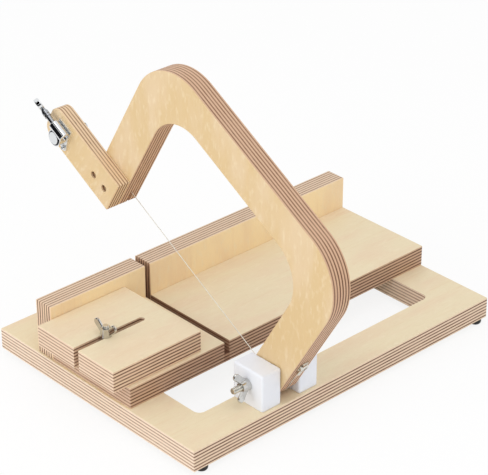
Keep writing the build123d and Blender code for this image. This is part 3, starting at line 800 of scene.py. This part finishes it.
def cover_piece(tint):
    """The round cover over the gear: a bright disc in a shoulder painted black as shade."""
    low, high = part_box("tuner_cover")
    radius, height = (high.y - low.y) / 2, high.x - low.x
    disc = radius * COVER_DISC_SHARE
    material = cover_chrome_with_painted_shade("cover_plate", tint, (low + high) / 2, disc)
    profile = [(0.0, 0.0), (radius, 0.0)]
    profile += [(radius * wide, height * tall) for wide, tall in COVER_SHOULDER_SHARES]
    profile += [
        (disc + COVER_BEVEL, height * 0.65),
        (disc, height * 0.7),
        (disc, height * 0.9),
        (disc - COVER_BEVEL, height),
        (radius * 0.4, height),
        (0.0, height),
    ]
    mesh = plain_mesh("tuner_cover_detail", turned(profile, 72))
    seat = Vector((high.x, (low.y + high.y) / 2, (low.z + high.z) / 2))
    mesh.transform(Matrix.Translation(seat) @ Matrix.Rotation(-math.pi / 2, 4, "Y"))
    mesh.materials.append(material)
    piece = new_object("tuner_cover_detail", mesh)
    stands_for(piece, "tuner_cover", "bow")


# Stage


def ray_kind(tree, *kinds):
    """1 for rays of the named kinds, otherwise 0."""
    rays = tree.node("ShaderNodeLightPath")
    seen = rays.output(kinds[0])
    for kind in kinds[1:]:
        seen = seen.maths("MAXIMUM", seen, rays.output(kind))
    return seen


def add_floor(stage):
    """A pale floor whose shadows show faintly in the picture."""
    mesh = bpy.data.meshes.new("floor")
    corners = [(x * FLOOR_REACH, y * FLOOR_REACH, 0) for x, y in ((-1, -1), (1, -1), (1, 1), (-1, 1))]
    mesh.from_pydata(corners, [], [(0, 1, 2, 3)])
    floor = new_object("floor", mesh)
    material, tree = new_material("pale_floor")
    matt = tree.node("ShaderNodeBsdfDiffuse", None, {"Color": (*stage.floor_colour, 1.0)})
    bright = tree.node("ShaderNodeEmission", None, {"Color": (1.0, 1.0, 1.0, 1.0), "Strength": 1.0})
    seen = ray_kind(tree, "Is Camera Ray", "Is Glossy Ray", "Is Transmission Ray")
    values = {0: seen * (1 - stage.floor_shadow), 1: matt, 2: bright}
    tree.node("ShaderNodeOutputMaterial", None, {"Surface": tree.node("ShaderNodeMixShader", None, values)})
    mesh.materials.append(material)


def add_card():
    """A black card on the left that only metal sees."""
    mesh = bpy.data.meshes.new("black_card")
    sides = ((CARD_NEAR, 0.0), (CARD_FAR, 0.0), (CARD_FAR, CARD_HEIGHT), (CARD_NEAR, CARD_HEIGHT))
    corners = [(CARD_LEFT, y, z) for y, z in sides]
    mesh.from_pydata(corners, [], [(0, 1, 2, 3)])
    card = new_object("black_card", mesh)
    material, tree = new_material("black_card")
    dark = tree.node("ShaderNodeEmission", None, {"Color": (*CARD_BLACK, 1.0), "Strength": 1.0})
    tree.node("ShaderNodeOutputMaterial", None, {"Surface": dark})
    mesh.materials.append(material)
    card.visible_camera = False
    card.visible_diffuse = False
    card.visible_transmission = False
    card.visible_shadow = False


def add_world(stage):
    """The room's even light, plain white to the camera. Metal sees dark patches in it."""
    world = bpy.data.worlds.new("white_room")
    world.use_nodes = True
    tree = Tree(world.node_tree)
    direction = tree.node("ShaderNodeTexCoord", output="Generated")
    dark = 0.0
    for place, low, high in DARK_PATCHES:
        values = {0: direction, 1: Vector(place).normalized()}
        facing = tree.node("ShaderNodeVectorMath", {"operation": "DOT_PRODUCT"}, values, 1)
        dark = dark + stage.dark_side * band(tree, facing, low, high)
    seen = ray_kind(tree, "Is Camera Ray", "Is Transmission Ray")
    mirrored = ray_kind(tree, "Is Glossy Ray")
    strength = stage.sky + seen * (1 - stage.sky) + mirrored * (1 - stage.sky - dark)
    room = tree.node("ShaderNodeBackground", None, {"Color": (1.0, 1.0, 1.0, 1.0), "Strength": strength})
    tree.node("ShaderNodeOutputWorld", None, {"Surface": room})
    bpy.context.scene.world = world


def add_lamp(name, power, size, place, target, mirrored):
    """A square soft lamp that faces a point. Mirrored says whether metal shows it."""
    data = bpy.data.lights.new(name, "AREA")
    data.energy = power
    data.size = size
    lamp = bpy.data.objects.new(name, data)
    lamp.location = place
    lamp.visible_glossy = mirrored
    lamp.rotation_euler = (Vector(place) - Vector(target)).to_track_quat("Z", "Y").to_euler()
    bpy.context.scene.collection.objects.link(lamp)


def add_camera(stage):
    """The camera at the photograph's angle."""
    data = bpy.data.cameras.new("camera")
    data.lens = stage.camera_lens
    data.sensor_width = 36
    data.clip_end = 20
    camera = bpy.data.objects.new("camera", data)
    camera.location = stage.camera_place
    camera.rotation_euler = stage.camera_turn
    bpy.context.scene.collection.objects.link(camera)
    bpy.context.scene.camera = camera


# Operators


class SOAPCUTTER_OT_boards(bpy.types.Operator):
    """Give each plywood board its veneer and its layered edges"""

    bl_idname = "soapcutter.boards"
    bl_label = "Plywood Boards"

    def execute(self, context):
        for board, *layout in BOARDS:
            finish(board, plywood(board, *layout))
        return {"FINISHED"}


class SOAPCUTTER_OT_blocks(bpy.types.Operator):
    """Give the hinge blocks their nylon and the feet their rubber"""

    bl_idname = "soapcutter.blocks"
    bl_label = "Hinge Blocks and Feet"

    def execute(self, context):
        hardware = settings().hardware
        white = nylon("sawn_nylon", hardware.nylon)
        for node in ("hinge_block_left", "hinge_block_right"):
            piece = rounded(node + "_detail", node, 0.4 * MM, 12, white)
            stands_for(piece, node, "frame")
        finish("rubber_feet", rubber("moulded_rubber", hardware.rubber))
        return {"FINISHED"}


class SOAPCUTTER_OT_bolts(bpy.types.Operator):
    """Make the hinge bolt and the stop's bolt with their threads"""

    bl_idname = "soapcutter.bolts"
    bl_label = "Bolts"

    def execute(self, context):
        hardware = settings().hardware
        material = metal("zinc_plate", hardware.zinc, 0.18, 0.1, 3 * MM)
        low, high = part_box("hinge_bolt")
        radius = (high.z - low.z) / 2
        seat = Vector((high.x - HINGE_HEAD, (low.y + high.y) / 2, (low.z + high.z) / 2))
        turn = Matrix.Translation(seat) @ Matrix.Rotation(-math.pi / 2, 4, "Y")
        plain = seat.x - low.x - HINGE_THREAD
        top = hexagon_head(radius, HINGE_HEAD, HEAD_BEVEL)
        piece = bolt("hinge_bolt_detail", turn, top, plain, HINGE_THREAD, BOLT_CREST, material)
        stands_for(piece, "hinge_bolt", "frame")
        low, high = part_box("stop_bolt")
        radius = (high.x - low.x) / 2
        seat = Vector(((low.x + high.x) / 2, (low.y + high.y) / 2, low.z + STOP_HEAD))
        plain = high.z - seat.z - STOP_THREAD
        top = round_head(radius, STOP_HEAD, 6)
        place = Matrix.Translation(seat)
        piece = bolt("stop_bolt_detail", place, top, plain, STOP_THREAD, BOLT_CREST, material)
        stands_for(piece, "stop_bolt", "frame")
        return {"FINISHED"}


class SOAPCUTTER_OT_wing_nuts(bpy.types.Operator):
    """Make the two cast wing nuts with their soft edges"""

    bl_idname = "soapcutter.wing_nuts"
    bl_label = "Wing Nuts"

    def execute(self, context):
        hardware = settings().hardware
        material = metal("cast_zinc", hardware.cast_zinc, 0.09, 0.06, 2 * MM, 0.85)
        for node, body in (("hinge_wing_nut", "hinge_nut"), ("stop_wing_nut", "stop_nut")):
            piece = softened(node + "_detail", node, hardware.cast_edge, material)
            stands_for(piece, node, body)
        return {"FINISHED"}


class SOAPCUTTER_OT_base_screws(bpy.types.Operator):
    """Make the flat-head screws under the base, each with its cross recess"""

    bl_idname = "soapcutter.base_screws"
    bl_label = "Base Screws"

    def execute(self, context):
        hardware = settings().hardware
        material = metal("screw_zinc", hardware.zinc, 0.32, 0.2, 1.5 * MM)
        group = screw_group()
        for node in ("hinge_block_screws", "bed_screws", "fence_screws"):
            low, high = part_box(node)
            mesh = bpy.data.meshes.new(node + "_detail")
            places = [place + Vector((0, 0, SCREW_LIFT)) for place in solid_places(node, SCREW_REACH)]
            mesh.from_pydata(places, [], [])
            length = high.z - low.z - SCREW_SHORTER
            values = {**SCREW_SIZES, "Length": length, "Material": material}
            piece = grown(node + "_detail", mesh, group, values)
            stands_for(piece, node, "frame")
        return {"FINISHED"}


class SOAPCUTTER_OT_wire(bpy.types.Operator):
    """Finish the wire, its ring and the screws on the bow"""

    bl_idname = "soapcutter.wire"
    bl_label = "Wire and Bow Screws"

    def execute(self, context):
        tuner = settings().tuner
        finish("cutting_wire", metal("drawn_steel_wire", tuner.wire, 0.4, 0.1, 2 * MM, 0.92, 0.35))
        finish("ring_terminal", metal("tinned_copper", tuner.terminal, 0.12, 0.08, 1 * MM))
        steel = metal("plated_screws", settings().hardware.zinc, 0.16, 0.1, 1 * MM)
        finish("anchor_screw", steel)
        finish("handle_screws", steel)
        return {"FINISHED"}


class SOAPCUTTER_OT_tuner(bpy.types.Operator):
    """Make the tuner's cast housing and give its other pieces their plating"""

    bl_idname = "soapcutter.tuner"
    bl_label = "Wire Tuner"

    def execute(self, context):
        tuner = settings().tuner
        chrome = metal("chrome_plate", tuner.chrome, 0.06, 0.04, 2.5 * MM, 0.94)
        _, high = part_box("tuner_housing")
        plating = housing_plating("housing_plate", tuner.chrome, high.x - tuner.plate)
        piece = softened("tuner_housing_detail", "tuner_housing", tuner.cast_edge, plating)
        stands_for(piece, "tuner_housing", "bow")
        cover_piece(tuner.chrome)
        for piece in ("button", "button_screw", "fixing_screw", "post", "bushing", "washer", "worm"):
            finish("tuner_" + piece, chrome)
        # Darker chrome on the ferrule, a painted dark reflection
        finish("tuner_ferrule", metal("dark_plate", tuner.ferrule, 0.1, 0.06, 1 * MM))
        finish("tuner_gear", metal("cut_brass", tuner.brass, 0.3, 0.2, 1 * MM))
        return {"FINISHED"}


class SOAPCUTTER_OT_stage(bpy.types.Operator):
    """Add the camera, the floor, the room's light and the lamps"""

    bl_idname = "soapcutter.stage"
    bl_label = "Stage"

    def execute(self, context):
        stage = settings().stage
        add_camera(stage)
        add_floor(stage)
        add_card()
        add_world(stage)
        add_lamp("main_lamp", stage.key, 1.6, (-0.35, -0.8, 1.75), LAMP_TARGET, True)
        add_lamp("left_lamp", stage.left, 1.2, (-1.7, 0.35, 0.6), LAMP_TARGET, False)
        context.scene.view_settings.view_transform = "Standard"
        return {"FINISHED"}


class SoapCutterSettings(bpy.types.PropertyGroup):
    """All settings of the soap cutter."""

    plywood: PointerProperty(type=PlywoodSettings)
    hardware: PointerProperty(type=HardwareSettings)
    tuner: PointerProperty(type=TunerSettings)
    stage: PointerProperty(type=StageSettings)


STEPS = (
    SOAPCUTTER_OT_boards,
    SOAPCUTTER_OT_blocks,
    SOAPCUTTER_OT_bolts,
    SOAPCUTTER_OT_wing_nuts,
    SOAPCUTTER_OT_base_screws,
    SOAPCUTTER_OT_wire,
    SOAPCUTTER_OT_tuner,
    SOAPCUTTER_OT_stage,
)


class SOAPCUTTER_PT_panel(bpy.types.Panel):
    """The soap cutter's steps and settings"""

    bl_label = "Soap Cutter"
    bl_idname = "SOAPCUTTER_PT_panel"
    bl_space_type = "VIEW_3D"
    bl_region_type = "UI"
    bl_category = "Soap Cutter"

    def draw(self, context):
        groups = context.scene.soap_cutter
        for label in ("plywood", "hardware", "tuner", "stage"):
            column = self.layout.box().column()
            column.label(text=label.title())
            group = getattr(groups, label)
            for name in group.bl_rna.properties.keys():
                if name not in ("rna_type", "name"):
                    column.prop(group, name)
        for step in STEPS:
            self.layout.operator(step.bl_idname)


CLASSES = (
    PlywoodSettings,
    HardwareSettings,
    TunerSettings,
    StageSettings,
    SoapCutterSettings,
    *STEPS,
    SOAPCUTTER_PT_panel,
)


def register():
    """Register the classes and give each scene its settings."""
    for item in CLASSES:
        bpy.utils.register_class(item)
    bpy.types.Scene.soap_cutter = PointerProperty(type=SoapCutterSettings)


def unregister():
    """Take away what register added."""
    del bpy.types.Scene.soap_cutter
    for item in reversed(CLASSES):
        bpy.utils.unregister_class(item)


def main():
    """Build the soap cutter step by step."""
    register()
    for step in STEPS:
        group, name = step.bl_idname.split(".")
        getattr(getattr(bpy.ops, group), name)()


if __name__ == "__main__":
    main()
